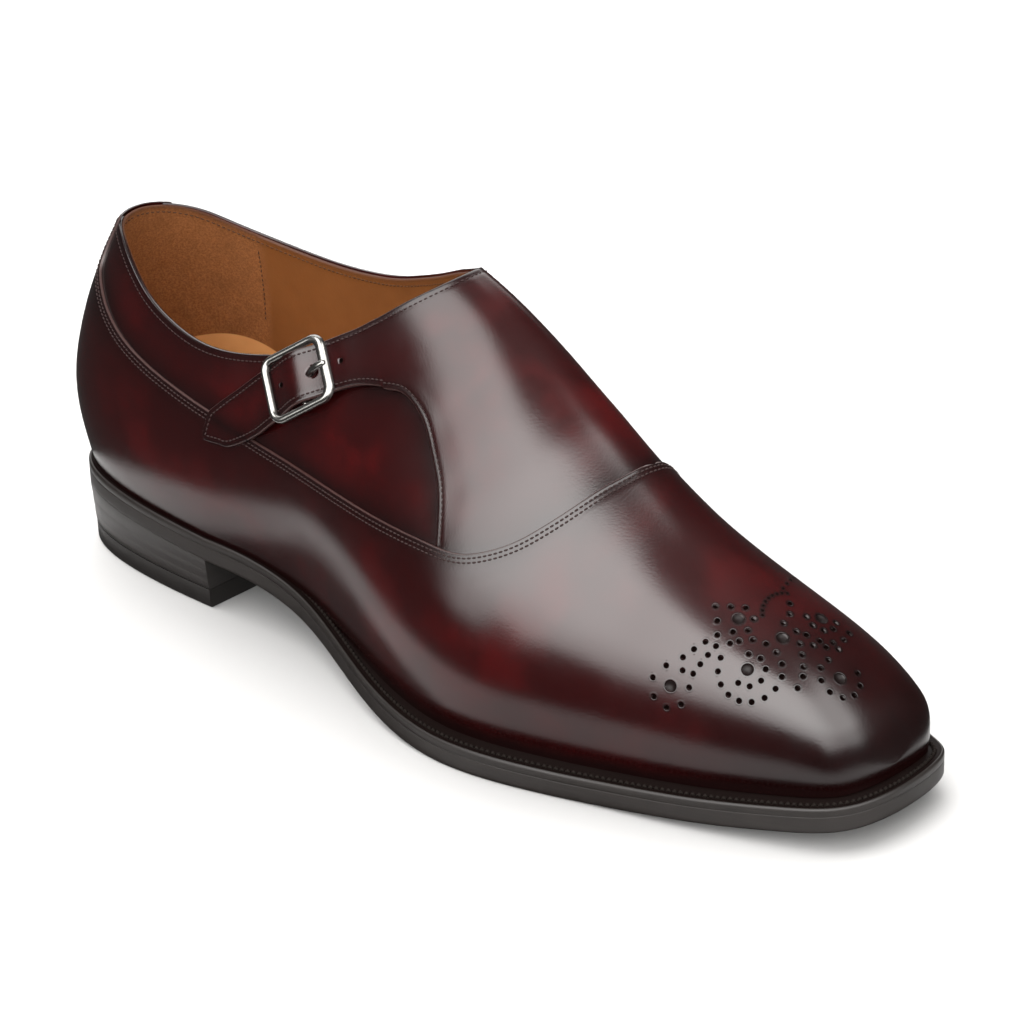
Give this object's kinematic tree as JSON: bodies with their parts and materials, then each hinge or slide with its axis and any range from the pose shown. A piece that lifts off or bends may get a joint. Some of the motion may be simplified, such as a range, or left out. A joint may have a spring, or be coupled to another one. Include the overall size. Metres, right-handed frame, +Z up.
{
  "type": "single monk strap shoe",
  "caption": "Right-foot leather dress shoe, closed by a strap and buckle on its outer side, with a pierced toe medallion, a welted sole and a low stacked heel.",
  "frame": {"origin": "centre of the shoe's bounding box, on the floor it stands on", "axes": "+X from heel to toe along the sole's length, +Y to the inner (medial) side, +Z up"},
  "size_m": [0.3052, 0.0996, 0.1183],
  "materials": {
    "upper_leather": "polished burgundy calf, burnished darker at the toe, heel and seams",
    "lining_leather": "tan lining leather",
    "edge_leather": "dark burnished welt and rand",
    "sole_leather": "dark burnished sole leather",
    "heel_leather": "dark polished stacked leather",
    "heel_rubber": "dark heel top piece",
    "buckle_metal": "polished nickel"
  },
  "bodies": {
    "root": {"outsole": "sole_leather", "welt": "edge_leather", "heel_rand": "edge_leather", "heel_stack": "heel_leather", "heel_top_piece": "heel_rubber", "insole": "lining_leather", "upper": "upper_leather", "monk_strap": "upper_leather", "buckle_tab": "upper_leather", "buckle_frame": "buckle_metal", "buckle_prong": "buckle_metal"}
  },
  "joints": []
}
